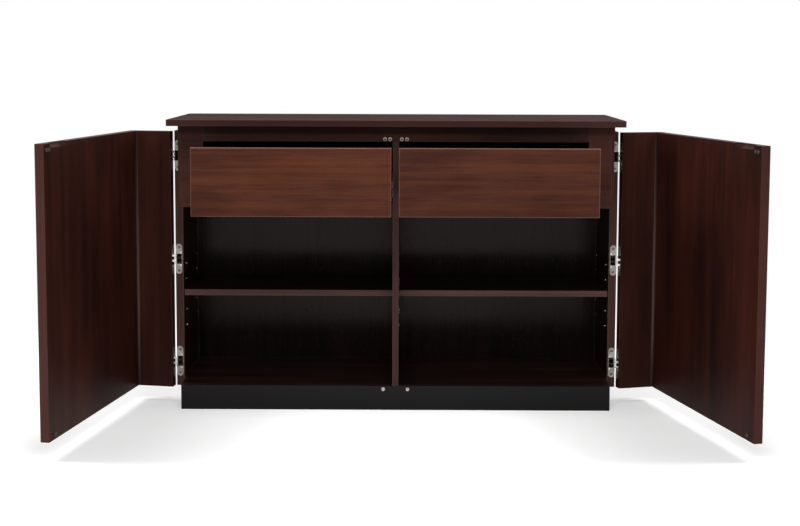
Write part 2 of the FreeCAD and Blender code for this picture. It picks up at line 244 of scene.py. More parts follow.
def arris_mask(gaps):
    """1 on the arrises of a box-shaped board, 0 a few millimetres away from them."""
    pair_low, pair_high = gaps[0].least(gaps[1]), gaps[0].most(gaps[1])
    second = pair_low.most(pair_high.least(gaps[2]))
    return 1.0 - second.step(*ARRIS_WIDE)


# %% [markdown]
# ## Mahogany veneer
#
# A picture of wood would repeat from board to board, so the wood is made of noise, and no two boards
# show the same part of it. Several sizes of detail make it: a broad figure, its lighter ribbon, soft
# patches, streaks a few millimetres wide, fine fibres, and short dark pores. Each is squeezed across
# the grain: the first number of its pair is its scale across the grain, and the second along it.
# Four weights say how much the figure, streaks, fibres and patches move the tone. A low sheen with a
# warm tint stands for the satin lacquer. Only the fibres and pores reach the bump.
#
# Two options serve a few boards only. The outer face of a side panel is taken to match the door beside
# it, while its inside stays dark, partly as painted shade, so a look may name an outer one, which the
# place picks. And the shading of the back panel leans a little, as a thin panel that bows would, so
# that its sheen falls where the photograph has it.

# %% Layers of the wood
X, Y, Z = range(3)
GRAIN = {"X": X, "Y": Y, "Z": Z}
STREAKS, FIBRES = (170, 2.2), (1300, 14)
RIBBON_FINER, RIBBON_ALONG = 2.1, 1.3
RIBBON_FROM, PORES_FROM = (0.45, 0.68), (0.60, 0.70)


def stretched(finish, place, grain, across, along, seed):
    """The place, scaled so that noise is fine across the grain and long along it."""
    scale = [across] * 3
    scale[GRAIN[grain]] = along
    sockets = {"Vector": place, "Location": (seed, seed * 1.7, seed * 2.3), "Scale": scale}
    return finish.node("Mapping", sockets)


def wood_layers(finish, place, look, grain, seed):
    """The noises that one board is made of."""

    def layer(across, along, **options):
        return finish.noise(stretched(finish, place, grain, across, along, seed), **options)

    finer = look["figure"][0] * RIBBON_FINER
    return {
        "figure": layer(*look["figure"], detail=2.0, distortion=0.5),
        "streaks": layer(*STREAKS, detail=4.0, roughness=0.6),
        "fibres": layer(*FIBRES, detail=2.0),
        "patches": layer(*look["patches"], detail=2.0, distortion=0.4),
        "ribbon": layer(finer, RIBBON_ALONG, detail=1.0).step(*RIBBON_FROM),
        "pores": layer(*look["pores"], detail=1.0).step(*PORES_FROM),
    }


def wood_tone(layers, weights):
    """0 where the wood is darkest and 1 where it is lightest."""
    broad, lines, hair, patch = weights
    level = layers["figure"] * broad + layers["streaks"] * lines
    level = level + layers["fibres"] * hair + layers["patches"] * patch
    middle = sum(weights) / 2
    return level.step(middle - 0.5, middle + 0.5)


# %% [markdown]
# The colour is a row of blends, each laid over the one before: the two tones, an outer face where the
# look names one, the ribbon, the pores, the band on two edges, and last the arrises, worn and with a
# painted highlight.

# %% Colour of the wood
OUTER_DEEP = (0.007, 0.003)
BAND_DEEP, BAND_EVEN = (0.0003, 0.0009), 0.6


def wood_colour(finish, look, layers, tone, axes, corners):
    """The wood without its edges. The corners tell which face is the outer one."""
    wood = finish.mix(tone, look["dark"], look["light"])
    if "outer" in look:
        low, high = corners
        reach = max(-low[X], high[X])
        outside = axes[X].unsigned().step(*(reach - deep for deep in OUTER_DEEP))
        skin = finish.mix(tone, look["outer"]["dark"], look["outer"]["light"])
        wood = finish.mix(outside, wood, skin)
    wood = finish.mix(layers["ribbon"] * look["ribbon_share"], wood, look["ribbon"])
    return finish.mix(layers["pores"] * look["pore_share"], wood, look["pore"])


def wood_edges(finish, look, wood, tone, gaps, band):
    """The same wood with its edge band and its arrises, worn and with a painted highlight."""
    if band:
        on_band = 1.0 - gaps[GRAIN[band]].step(*BAND_DEEP)
        wood = finish.mix(on_band * (tone * (1 - BAND_EVEN) + BAND_EVEN), wood, look["band"])
    return finish.mix(arris_mask(gaps) * look["arris_wear"], wood, look["arris"])


# %% [markdown]
# The relief is a Bump node, because fibres and pores are far finer than a mesh should hold. The
# roughness wanders in broad clouds, and the pores are a little rougher than the wood around them.

# %% The veneer
CLOUD_SCALE, CLOUD_ROUGH, PORE_ROUGH = 5.0, 0.1, 0.1
FIBRE_HIGH, PORE_DEEP, RELIEF_DEEP = 0.35, 0.8, 0.0002


def wood_relief(finish, look, layers):
    """The bump of the fibres and pores, on a shading that may lean."""
    height = layers["fibres"] * FIBRE_HIGH - layers["pores"] * PORE_DEEP
    bump = {"Strength": look["relief"], "Distance": RELIEF_DEEP, "Height": height}
    if "lean" in look:
        upright = finish.node("NewGeometry", (), "Normal")
        leaning = finish.node("VectorMath", [upright, (0, 0, look["lean"])], operation="ADD")
        bump["Normal"] = finish.node("VectorMath", [leaning], operation="NORMALIZE")
    return finish.node("Bump", bump)


def veneer(name, node_name, look, grain, seed, matrix=Matrix(), band=None):
    """The finish of one veneered board. Band is the axis whose two end faces have an edge band."""
    finish = Finish(name)
    place, axes = board_place(finish, matrix)
    corners = shut_box(node_name, matrix)
    layers = wood_layers(finish, place, look, grain, seed)
    tone = wood_tone(layers, look["weights"])
    wood = wood_colour(finish, look, layers, tone, axes, corners)
    cloud = finish.noise(place, scale=CLOUD_SCALE, detail=1.0)
    rough = look["roughness"] + (cloud - 0.5) * CLOUD_ROUGH + layers["pores"] * PORE_ROUGH
    return finish.surface(
        Base_Color=wood_edges(finish, look, wood, tone, face_gaps(axes, *corners), band),
        Roughness=rough,
        Specular_IOR_Level=look["specular"],
        Specular_Tint=look["tint"],
        Normal=wood_relief(finish, look, layers),
    )


# %% [markdown]
# ## The looks of the boards
#
# One look is the start of all, and each board's own look changes what differs: the two tones, the
# ribbon, the band on its edges, the wear and painted highlight of its arrises. The colours were tuned
# by the mean colour of a region against the photograph. The right drawer front and the right door's
# edge are a little darker than the left ones, which is painted shade. The short wings of the doors
# are lighter than their fronts, which is painted light.

# %% The look that all boards start from
WOOD = {
    "dark": colour(28, 12, 9),
    "light": colour(66, 32, 23),
    "ribbon": colour(66, 34, 18),
    "ribbon_share": 0.3,
    "weights": (1.6, 1.5, 0.5, 0.8),
    "figure": (16, 0.8),
    "patches": (7, 2.2),
    "pores": (1000, 65),
    "pore": colour(12, 6, 4),
    "pore_share": 0.45,
    "band": colour(84, 54, 48),
    # The arris colour and its share stand for stain rubbed through and for a painted highlight.
    "arris": colour(122, 90, 82),
    "arris_wear": 0.35,
    "roughness": 0.45,
    "specular": 0.08,
    "tint": (1, 0.86, 0.82, 1),
    "relief": 0.35,
}
print(len(WOOD), "values in a look")

# %% [markdown]
# Each of the looks below starts from that one and names only what differs.

# %% Looks
LOOKS = {
    "top": {
        **WOOD,
        "dark": colour(26, 14, 13),
        "light": colour(47, 28, 26),
        "roughness": 0.5,
        "band": colour(66, 43, 41),
        "specular": 0.004,
    },
    "door": {
        **WOOD,
        "dark": colour(25, 11, 9),
        "light": colour(53, 23, 17),
        "ribbon": colour(62, 30, 19),
        "arris": colour(64, 44, 41),
        "ribbon_share": 0.25,
        "weights": (0.5, 0.6, 0.5, 1.3),
        "specular": 0.06,
    },
    "left_front": {
        **WOOD,
        "dark": colour(52, 26, 18),
        "light": colour(83, 44, 31),
        "ribbon": colour(100, 55, 28),
        "figure": (20, 6),
        "weights": (0.5, 0.8, 1.6, 0.9),
        "patches": (13, 6),
        "pore_share": 0.32,
        "arris": colour(148, 114, 104),
        "arris_wear": 0.5,
    },
    "case": {
        **WOOD,
        "dark": colour(40, 21, 17),
        "light": colour(70, 39, 32),
        "weights": (0.8, 0.9, 0.5, 1.0),
        "arris_wear": 0.12,
    },
    # The rail is darker than the case's stiles, as painted shade under the top's overhang.
    "rail": {**WOOD, "dark": colour(29, 19, 16), "light": colour(60, 36, 31), "arris_wear": 0.2},
    # The boards inside the bays are dark partly in their own tone and partly as painted shade of the
    # bays.
    "carcass": {
        **WOOD,
        "dark": colour(11, 6, 5),
        "light": colour(34, 18, 14),
        "band": colour(74, 50, 46),
    },
    # The shelves' edge band is lighter than the partition's: painted light on the shelves' front edges,
    # and painted shade on the partition's edge under the drawers.
    "shelf": {
        **WOOD,
        "dark": colour(10, 6, 5),
        "light": colour(28, 16, 14),
        "band": colour(98, 70, 69),
    },
    "partition": {
        **WOOD,
        "dark": colour(14, 7, 6),
        "light": colour(36, 20, 17),
        "band": colour(70, 46, 43),
    },
    "back": {
        **WOOD,
        "dark": colour(9, 5, 4),
        "light": colour(24, 15, 13),
        "ribbon_share": 0.1,
        "pores": (240, 42),
        "pore_share": 0.7,
        "specular": 0.15,
        "roughness": 0.2,
        "relief": 0.6,
        "lean": -0.06,
    },
    "box": {**WOOD, "dark": colour(70, 44, 30), "light": colour(120, 82, 58), "relief": 0.5},
}
# The right drawer front is a darker copy of the left one: painted shade.
RIGHT_FRONT_SHADED = {"dark": colour(49, 24, 17), "light": colour(77, 41, 30)}
LOOKS["right_front"] = {**LOOKS["left_front"], **RIGHT_FRONT_SHADED}
# The wings are a lighter copy of the door's look: painted light.
LOOKS["wing"] = {**LOOKS["door"], "dark": colour(28, 13, 10), "light": colour(57, 28, 22)}
LOOKS["side"] = {**LOOKS["carcass"], "outer": LOOKS["wing"]}
print(len(LOOKS), "looks")

# %% [markdown]
# ## Each board and its grain
#
# The list gives each board its look and the way its grain runs. The place in the list also picks the
# part of the noise that the board samples, its seed, so the order is part of the look. Boards with a
# banded edge are named with the axis that the band faces. The doors' four boards come last, with seeds
# of their own and the matrix that turns them back to shut.

# %% The list of boards
BOARDS = [
    ("top_panel", "top", "X"),
    ("sub_top", "carcass", "X"),
    ("bottom_board", "carcass", "X"),
    ("back_panel", "back", "Z"),
    ("centre_partition", "partition", "Z"),
    ("drawer_case_rail", "rail", "X"),
    ("side_panel_left", "side", "Z"),
    ("side_panel_right", "side", "Z"),
    ("shelf_left", "shelf", "X"),
    ("shelf_right", "shelf", "X"),
]
BANDED = {
    "top_panel": "Y",
    "centre_partition": "Y",
    "side_panel_left": "Y",
    "side_panel_right": "Y",
    "shelf_left": "Y",
    "shelf_right": "Y",
    "bottom_board": "Y",
}
for side in SIDES:
    BOARDS += [
        ("drawer_case_stile_" + side, "case", "X"),
        ("drawer_case_end_" + side, "case", "X"),
        ("drawer_case_side_" + side, "carcass", "Y"),
        ("drawer_case_deck_" + side, "carcass", "X"),
        (side + "_drawer_front", side + "_front", "X"),
        (side + "_drawer_box_front", "box", "X"),
        (side + "_drawer_box_back", "box", "X"),
        (side + "_drawer_box_inner_side", "box", "Y"),
        (side + "_drawer_box_outer_side", "box", "Y"),
        (side + "_drawer_box_bottom", "box", "X"),
    ]
print(len(BOARDS), "boards,", len(BANDED), "of them banded")

# %% Veneer on every board
SEED_STEP = 3.7
DOOR_SEEDS = {
    "left": {"front_panel": 71, "side_panel": 70},
    "right": {"front_panel": 80, "side_panel": 79},
}
# The right door's edge band is darker than the left's: painted shade.
DOOR_EDGES_LIT_AND_SHADED = {"left": colour(79, 50, 44), "right": colour(68, 41, 36)}

for index, (node_name, look, grain) in enumerate(BOARDS):
    name, band = "veneer_" + node_name, BANDED.get(node_name)
    give(node_name, veneer(name, node_name, LOOKS[look], grain, index * SEED_STEP, band=band))
for side, seeds in DOOR_SEEDS.items():
    front = {**LOOKS["door"], "band": DOOR_EDGES_LIT_AND_SHADED[side]}
    for part, look, band in (("front_panel", front, "X"), ("side_panel", LOOKS["wing"], None)):
        node_name = f"{side}_door_{part}"
        name = "veneer_" + node_name
        give(node_name, veneer(name, node_name, look, "Z", seeds[part], opened(side), band))
print(len(BOARDS) + 2 * len(SIDES), "veneered boards")


# %% [markdown]
# ## Black plinth
#
# The plinth is satin black, and is taken to be painted. Paint leaves a faint orange peel, and the foot
# collects scuffs. The black deepens toward the floor, as it does in the photograph: that is painted
# shade.

# %% The plinth's paint
def black_paint():
    finish = Finish("plinth_paint")
    place = finish.node("TexCoord", (), "Object")
    peel = finish.noise(place, scale=420.0, detail=2.0)
    scuffs = finish.noise(place, scale=34.0, detail=4.0, roughness=0.7).step(0.62, 0.8)
    height = finish.node("SeparateXYZ", [place], "Z")
    foot = (1.0 - height.step(0.0, 0.03)) * scuffs
    # Painted shade: the black is darker toward the floor.
    black_with_painted_shade = finish.mix(height.step(-0.01, 0.09), colour(14, 13, 13), colour(23, 20, 22))
    paint = finish.mix(foot * 0.5, black_with_painted_shade, colour(48, 45, 43))
    bump = {"Strength": 0.15, "Distance": 0.0002, "Height": peel}
    return finish.surface(
        Base_Color=paint,
        Roughness=0.45 + scuffs * 0.15,
        Specular_IOR_Level=0.12,
        Normal=finish.node("Bump", bump),
    )


paint = black_paint()
PLINTH_PARTS = ("front", "back", "end_left", "end_right", "brace")
for part in PLINTH_PARTS:
    give("plinth_" + part, paint)
print(len(PLINTH_PARTS), "plinth boards painted")


# %% [markdown]
# ## Metals and bumpers
#
# The hinge leaves are taken to be cast zinc with a dull nickel skin, and the runners rolled and zinc
# plated. The shelf pins are the smoothest. All metals share one formula: a cloudy roughness, fine marks
# that may run one way, and a little tarnish. The bumpers and the magnets' cores share another, with a
# fine grain and a little dust.

# %% Plated metal
DULL_SHARE, DUSTY_SHARE = 0.62, 0.75


def plated(name, shade, roughness, marks=(900, 900, 900), relief=0.12, tarnish=0.25):
    finish = Finish(name)
    place = finish.node("TexCoord", (), "Object")
    fine = finish.noise(finish.node("Mapping", {"Vector": place, "Scale": marks}), detail=3.0)
    cloud = finish.noise(place, scale=85.0, detail=3.0)
    stain = cloud.step(0.5, 0.75)
    dull = [channel * DULL_SHARE for channel in shade[:3]] + [1.0]
    metal = finish.mix(stain * tarnish, shade, dull)
    bump = {"Strength": relief, "Distance": 0.0001, "Height": fine}
    return finish.surface(
        Base_Color=metal,
        Metallic=1.0,
        Roughness=roughness + (fine - 0.5) * 0.12 + stain * 0.1,
        Normal=finish.node("Bump", bump),
    )


def soft_pad(name, shade, roughness):
    finish = Finish(name)
    place = finish.node("TexCoord", (), "Object")
    grain = finish.noise(place, scale=1600.0, detail=2.0)
    dusty = finish.noise(place, scale=240.0, detail=2.0).step(0.5, 0.7)
    darker = [channel * DUSTY_SHARE for channel in shade[:3]] + [1.0]
    bump = {"Strength": 0.25, "Distance": 0.0001, "Height": grain}
    return finish.surface(
        Base_Color=finish.mix(dusty * 0.4, shade, darker),
        Roughness=roughness + (grain - 0.5) * 0.1,
        Normal=finish.node("Bump", bump),
    )


# %% Finishes on the fittings
hinge_nickel = plated("hinge_nickel", colour(226, 222, 216), 0.34)
hinge_lobe = plated("hinge_lobe", colour(150, 147, 142), 0.5, relief=0.3)
# The pocket's near-black metal is painted shade in the deep pocket.
pocket_painted_shade = plated("pocket_painted_shade", colour(26, 24, 22), 0.5, relief=0.3)
screw_steel = plated("screw_steel", colour(100, 96, 92), 0.34, marks=(2200, 2200, 2200))
runner_zinc = plated("runner_zinc", colour(186, 188, 190), 0.36, marks=(1500, 40, 1500))
catch_nickel = plated("catch_nickel", colour(172, 162, 156), 0.34)
strike_steel = plated("strike_steel", colour(84, 74, 72), 0.5)
pin_nickel = plated("pin_nickel", colour(232, 228, 222), 0.22, marks=(1800, 300, 300))
pale_bumper = soft_pad("pale_bumper", colour(206, 200, 190), 0.6)

for side in SIDES:
    give("case_hinge_leaves_" + side, hinge_nickel)
    give(side + "_door_hinge_leaves", hinge_nickel)
    give(side + "_hinge_links", hinge_nickel)
    give(side + "_door_leaf_screws", screw_steel)
    give(side + "_door_strikes", strike_steel)
    give(side + "_drawer_runner_members", runner_zinc)
    give(side + "_runner_mid_members", runner_zinc)
give("case_leaf_screws", screw_steel)
give("shelf_pins", pin_nickel)
give("rail_magnets", catch_nickel)
give("plinth_bumpers", pale_bumper)
give("runner_case_members", runner_zinc)
print(len(bpy.data.materials), "finishes so far")


# %% [markdown]
# ## Modelling by hand
#
# The fittings are modelled with the operators that a person would use, one small piece at a time,
# at the origin with Z as the way the piece faces. A helper picks faces or points by where they are,
# another draws a round piece out ring by ring as a lathe would, and a third makes a flat bar with
# round corners. Each piece is modelled once, and its copies are moved to their places in the mesh.

# %% Picking and starting
MM = 0.001


def pick(kind, test):
    """In edit mode, selects only the faces or points whose middle and normal pass the test."""
    bpy.ops.mesh.select_mode(type=kind)
    bpy.ops.mesh.select_all(action="DESELECT")
    mesh = bpy.context.object.data
    editing = bmesh.from_edit_mesh(mesh)
    for item in editing.faces if kind == "FACE" else editing.verts:
        middle = item.calc_center_median() if kind == "FACE" else item.co
        item.select_set(bool(test(middle, item.normal)))
    editing.select_flush_mode()
    bmesh.update_edit_mesh(mesh)


def extrude(distance, scale=1.0):
    """Draws the selected face out along Z, and may widen or narrow it."""
    bpy.ops.mesh.extrude_region_move(TRANSFORM_OT_translate={"value": (0, 0, distance)})
    if scale != 1.0:
        bpy.ops.transform.resize(value=(scale, scale, 1))


def close_up():
    """Welds doubled points, turns every face outwards and leaves edit mode."""
    bpy.ops.mesh.select_all(action="SELECT")
    bpy.ops.mesh.remove_doubles(threshold=1e-6)
    bpy.ops.mesh.normals_make_consistent(inside=False)
    bpy.ops.object.mode_set(mode="OBJECT")
    return bpy.context.object


def turned(stations, sides=24, at=(0, 0)):
    """A round piece. Each station is its radius and its height, in millimetres."""
    bpy.ops.object.select_all(action="DESELECT")
    radius, height = stations[0]
    bpy.ops.mesh.primitive_circle_add(vertices=sides, radius=radius * MM, fill_type="NGON")
    bpy.ops.object.mode_set(mode="EDIT")
    bpy.ops.transform.translate(value=(at[0] * MM, at[1] * MM, height * MM))
    for (before, low), (after, high) in zip(stations, stations[1:]):
        extrude((high - low) * MM, after / before)
    return close_up()


def bar(width, length, thickness, corner, segments=6, at=(0, 0, 0)):
    """A flat bar with round corners, its top face at the given place. Sizes in millimetres."""
    bpy.ops.object.select_all(action="DESELECT")
    bpy.ops.mesh.primitive_plane_add(size=MM)
    bpy.ops.object.mode_set(mode="EDIT")
    bpy.ops.transform.resize(value=(width, length, 1))
    bpy.ops.mesh.bevel(affect="VERTICES", offset=corner * MM, segments=segments)
    bpy.ops.mesh.remove_doubles(threshold=1e-6)
    bpy.ops.transform.translate(value=Vector(at) * MM)
    extrude(-thickness * MM)
    return close_up()


# %% [markdown]
# Pieces that only touch are joined, and a Boolean cuts one out of another or welds two that cross. A
# real arris is never quite sharp, so a small bevel softens it. The Boolean and the bevel are
# modifiers, and are applied at once, so that the mesh that is kept is the shape that is seen.

# %% Joining, cutting and softening
def together(first, *others):
    """Makes one mesh of several pieces that only touch or overlap."""
    bpy.ops.object.select_all(action="DESELECT")
    for piece in (first, *others):
        piece.select_set(True)
    bpy.context.view_layer.objects.active = first
    bpy.ops.object.join()
    return first


def applied(piece, kind, **settings):
    """Adds a modifier and applies it."""
    modifier = piece.modifiers.new(kind.lower(), kind)
    for name, value in settings.items():
        setattr(modifier, name, value)
    bpy.ops.object.select_all(action="DESELECT")
    piece.select_set(True)
    bpy.context.view_layer.objects.active = piece
    bpy.ops.object.modifier_apply(modifier=modifier.name)
    return piece


def carved(piece, tool, operation="DIFFERENCE"):
    """Cuts the tool away from the piece, or welds it on, and throws the tool away."""
    applied(piece, "BOOLEAN", object=tool, operation=operation, solver="EXACT")
    bpy.data.objects.remove(tool)
    return piece


def softened(piece, width, segments=2):
    """Rounds the sharp arrises. The width is in millimetres."""
    options = {"width": width * MM, "segments": segments, "limit_method": "ANGLE"}
    return applied(piece, "BEVEL", angle_limit=math.radians(38), **options)


# %% [markdown]
# A copy with a mesh of its own is moved inside that mesh, so its object stays at the origin. The
# copies that move together are joined into one piece, which says what body it rides on and which
# plain pieces of the CAD model it replaces.

# %% From one modelled piece to its copies
def facing(direction, place, up=(0, 0, 1)):
    """The matrix that turns a piece's Z to the direction, its Y up, and moves it to the place."""
    ahead, above = Vector(direction), Vector(up)
    turn = Matrix((above.cross(ahead), above, ahead)).transposed()
    return Matrix.Translation(Vector(place) * MM) @ turn.to_4x4()


def copies(name, pattern, places, body, finish=None, replaced=()):
    """One piece of all the copies. A pattern with finishes of its own keeps them."""
    made = []
    for place in places:
        copy = pattern.copy()
        copy.data = pattern.data.copy()
        copy.data.transform(place)
        scene.collection.objects.link(copy)
        if place.determinant() < 0:
            copy.data.flip_normals()
        made.append(copy)
    piece = together(*made)
    bpy.ops.object.mode_set(mode="EDIT")
    close_up()
    bpy.ops.object.shade_smooth_by_angle(angle=math.radians(32))
    piece.name = piece.data.name = name
    if finish:
        piece.data.materials.clear()
        piece.data.materials.append(finish)
    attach(piece, body)
    if replaced:
        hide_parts(*replaced)
    print(name, len(places), "copies,", len(piece.data.polygons), "faces")
    return piece


# %% [markdown]
# ## Hinge leaves
#
# Each hinge has a cast leaf in the side panel and one in the door. It is a long plate with round
# ends: two sunk lobes with a raised rim take a countersunk screw each, and between them a deep
# pocket takes the links. Beside each end of the pocket sits an adjusting screw. One leaf is
# drawn from a rectangle, and is copied to all twelve places.

# %% One leaf
LEAF_LONG, LEAF_WIDE, LEAF_THICK = 96.0, 19.6, 3.0
POCKET_HALF, POCKET_DEEP = 17.3, 21.0
CUP_HALF, CUP_DEEP = 19.2, 22.2
SCREW_AT = 37.5
LOBE_DEEP, LOBE_RIM = 0.6, 2.3
POCKET_WALL = 0.6
FACING = 0.9
SEAT = [(5.9, 0.6), (4.7, -LOBE_DEEP), (2.2, -3.05), (2.2, -4)]


def cup_start(middle, normal):
    """The middle of the plate's back, from which the cup is drawn. The pocket's floor lies deeper."""
    return normal.z < -FACING and abs(middle.y) < MM and middle.z > -(LEAF_THICK + 1) * MM


def leaf_casting():
    """A plate with a pocket, the cup behind it, two sunk lobes and their screw seats."""
    leaf = bar(LEAF_WIDE, LEAF_LONG, LEAF_THICK, corner=LEAF_WIDE / 2)
    bpy.ops.object.mode_set(mode="EDIT")
    for facing_out, half in ((1, POCKET_HALF), (-1, CUP_HALF)):
        for end in (-1, 1):
            pick("FACE", lambda middle, normal: normal.z * facing_out > FACING)
            bpy.ops.mesh.bisect(plane_co=(0, end * half * MM, 0), plane_no=(0, 1, 0))
    pick("FACE", lambda middle, normal: normal.z > FACING and abs(middle.y) > POCKET_HALF * MM)
    bpy.ops.mesh.inset(thickness=LOBE_RIM * MM, depth=-LOBE_DEEP * MM)
    pick("FACE", lambda middle, normal: normal.z > FACING and abs(middle.y) < MM)
    bpy.ops.mesh.inset(thickness=POCKET_WALL * MM)
    extrude(-POCKET_DEEP * MM)
    pick("FACE", cup_start)
    extrude(-(CUP_DEEP - LEAF_THICK) * MM)
    leaf = close_up()
    for end in (-1, 1):
        carved(leaf, turned(SEAT, at=(0, end * SCREW_AT)))
    return softened(leaf, width=0.22)


# %% Its finishes and adjusting screws
ADJUSTER_AT = (5.6, 20.6)
ADJUSTER = [(2.3, -0.8), (2.3, 0.1), (2.0, 0.3), (1.1, 0.3), (1.1, -0.5)]


def leaf_finishes(leaf):
    """Nickel, duller in the sunk lobes, and painted dark inside the pocket, which stands for its shade.
    """
    for finish in (hinge_nickel, hinge_lobe, pocket_painted_shade):
        leaf.data.materials.append(finish)
    for face in leaf.data.polygons:
        x, y, z = (abs(value) / MM for value in face.center)
        sunk = face.center.z < -0.1 * MM
        if sunk and x < LEAF_WIDE / 2 - 0.5 and y < POCKET_HALF - 0.4:
            face.material_index = 2
        elif sunk and y > POCKET_HALF and face.normal.z > 0.3 and z < 3.2:
            face.material_index = 1
    return leaf


def adjusting_screws():
    across, along = ADJUSTER_AT
    screws = [turned(ADJUSTER, sides=16, at=(across, end * along)) for end in (-1, 1)]
    for screw in screws:
        screw.data.materials.append(hinge_nickel)
    return screws


leaf = together(leaf_finishes(leaf_casting()), *adjusting_screws())
print("one leaf:", len(leaf.data.polygons), "faces,", leaf.dimensions[:])

# %% [markdown]
# The CAD model has a plain leaf wherever a fine one goes, so the places are measured on its nodes and
# not written again. They are measured on the left side with its door turned back to shut, and a mirror
# gives the right side.

# %% The leaves in their places
def shut_mm(node_name, matrix=Matrix()):
    """The low corner, middle and high corner of a node when shut, in millimetres to three places."""
    low, high = (np.round(corner / MM, 3) for corner in shut_box(node_name, matrix))
    return low, (low + high) / 2, high


low, middle, high = shut_mm("case_hinge_leaves_left")
HINGE_HEIGHTS = np.linspace(low[Z] + LEAF_LONG / 2, high[Z] - LEAF_LONG / 2, 3)
LEAF_X, LEAF_Y = middle[X], low[Y]
AXIS_Y = round(HINGE_LINE["left"].y / MM, 3)
MIRROR = {"left": Matrix(), "right": Matrix.Diagonal((-1, 1, 1, 1))}
print("leaves at X", LEAF_X, "and Z", HINGE_HEIGHTS)
ACROSS = Matrix.Translation((0, AXIS_Y * MM, 0))
ACROSS = ACROSS @ Matrix.Diagonal((1, -1, 1, 1)) @ ACROSS.inverted()


def fitting_places(side, offsets=(0,)):
    """Where the side panel's fittings go, then the door's, which face them across the gap."""
    heights = [height + offset for height in HINGE_HEIGHTS for offset in offsets]
    spots = [facing((0, -1, 0), (LEAF_X, LEAF_Y, z)) for z in heights]
    panel = [MIRROR[side] @ spot for spot in spots]
    door = [opened(side) @ MIRROR[side] @ ACROSS @ spot for spot in spots]
    return panel, door


for side in SIDES:
    panel, door = fitting_places(side)
    seen, hidden = f"case_leaves_{side}", ["case_hinge_leaves_" + side]
    copies(seen, leaf, panel, "cabinet", replaced=hidden)
    seen, hidden = f"{side}_door_leaves", [side + "_door_hinge_leaves"]
    copies(seen, leaf, door, side + "_door", replaced=hidden)
bpy.data.objects.remove(leaf)

# %% [markdown]
# ## Screws
#
# The screws have a countersunk head and a cross recess. The head is a little smaller than its seat,
# which leaves the dark ring of the photograph. The recess is cut by two crossed bars.

# %% One screw and its copies
def cross_tool(length, width, depth, top):
    """Two crossed bars with their upper faces at the top, to cut a recess with."""
    first = bar(width, length, depth, corner=0.2, segments=1, at=(0, 0, top))
    second = bar(length, width, depth, corner=0.2, segments=1, at=(0, 0, top))
    return carved(first, second, "UNION")


def leaf_screw():
    head = [(0.9, -0.05), (3.2, -0.15), (4.15, -0.5), (4.1, -0.75), (2.0, -2.9)]
    screw = turned(head + [(1.9, -13), (0.3, -16)])
    carved(screw, cross_tool(length=4.6, width=1.05, depth=1.4, top=0.5))
    return softened(screw, width=0.08, segments=1)


screw = leaf_screw()
screw_places = {side: fitting_places(side, (-SCREW_AT, SCREW_AT)) for side in SIDES}
panels = [spot for panel, door in screw_places.values() for spot in panel]
copies("case_screws", screw, panels, "cabinet", screw_steel, ["case_leaf_screws"])
for side, (panel, door) in screw_places.items():
    hidden = [side + "_door_leaf_screws"]
    copies(side + "_door_screws", screw, door, side + "_door", screw_steel, hidden)
bpy.data.objects.remove(screw)

# %% [markdown]
# ## Hinge links
#
# Four arms hang on one pivot, two into the door and two into the side panel, by turns. Each has a
# rounded hub, a flat shank and a knuckle at its tip. The whole set turns half as far as the door. The
# arms into the panel have a darker shank, which is painted shade, as they look darker in the
# photograph.

# %% One arm
low, middle, high = shut_mm("left_hinge_links", opened("left", 0.5))
LINK_X, LINK_REACH = middle[X], (high[Y] - low[Y]) / 2
SLOT_HIGH = 8.2
HUB_END, KNUCKLE_IN = 3.6, 1.35
KNUCKLE = [(1.1, -3.8), (1.32, -3.6), (1.32, 3.6), (1.1, 3.8)]


def link_arm(shank_finish):
    """The hub is at the origin and the arm reaches along Y."""
    hub = bar(width=3.0, length=7.0, thickness=7.7, corner=1.45, segments=5, at=(0, 0, 3.85))
    shank = bar(width=2.1, length=18.4, thickness=6.4, corner=0.3, segments=2, at=(0, 10.6, 3.2))
    knuckle = turned(KNUCKLE, sides=16, at=(0, LINK_REACH - KNUCKLE_IN))
    arm = softened(carved(carved(hub, shank, "UNION"), knuckle, "UNION"), width=0.25)
    arm.data.materials.append(hinge_nickel)
    arm.data.materials.append(shank_finish)
    for face in arm.data.polygons:
        face.material_index = int(face.center.y > HUB_END * MM)
    return arm


def link_places(side, first_to_door, into_door):
    """Where the arms that point one way go. They take every second slot of the stack."""
    places = []
    for height in HINGE_HEIGHTS:
        for index in range(4):
            if ((index + first_to_door) % 2 == 1) == into_door:
                spot = (LINK_X, AXIS_Y, height + (index - 1.5) * SLOT_HIGH)
                place = facing((0, 0, 1), spot, up=(0, -1 if into_door else 1, 0))
                places.append(opened(side, 0.5) @ MIRROR[side] @ place)
    return places


# A darker copy of the nickel for the arms into the panel: painted shade.
shaded = plated("link_arm_painted_shade", colour(72, 68, 64), 0.45)
arms = {True: link_arm(hinge_nickel), False: link_arm(shaded)}
for side, first_to_door in (("left", 0), ("right", 1)):
    for into_door, name in ((True, "_links_to_door"), (False, "_links_to_panel")):
        places = link_places(side, first_to_door, into_door)
        hidden = [side + "_hinge_links"]
        copies(side + name, arms[into_door], places, side + "_links", replaced=hidden)
for arm in arms.values():
    bpy.data.objects.remove(arm)

# %% [markdown]
# ## Catches, bumpers and shelf pins
#
# The rail carries ringed magnets with a dark core, the plinth two pale bumpers, and each door the
# steel discs that meet them. All are turned pieces, and so are the shelf pins with their collar and
# the metal sleeves that line the spare holes. Each place is measured on the CAD pieces, and only the
# spacing of the magnets and of the holes is written here.

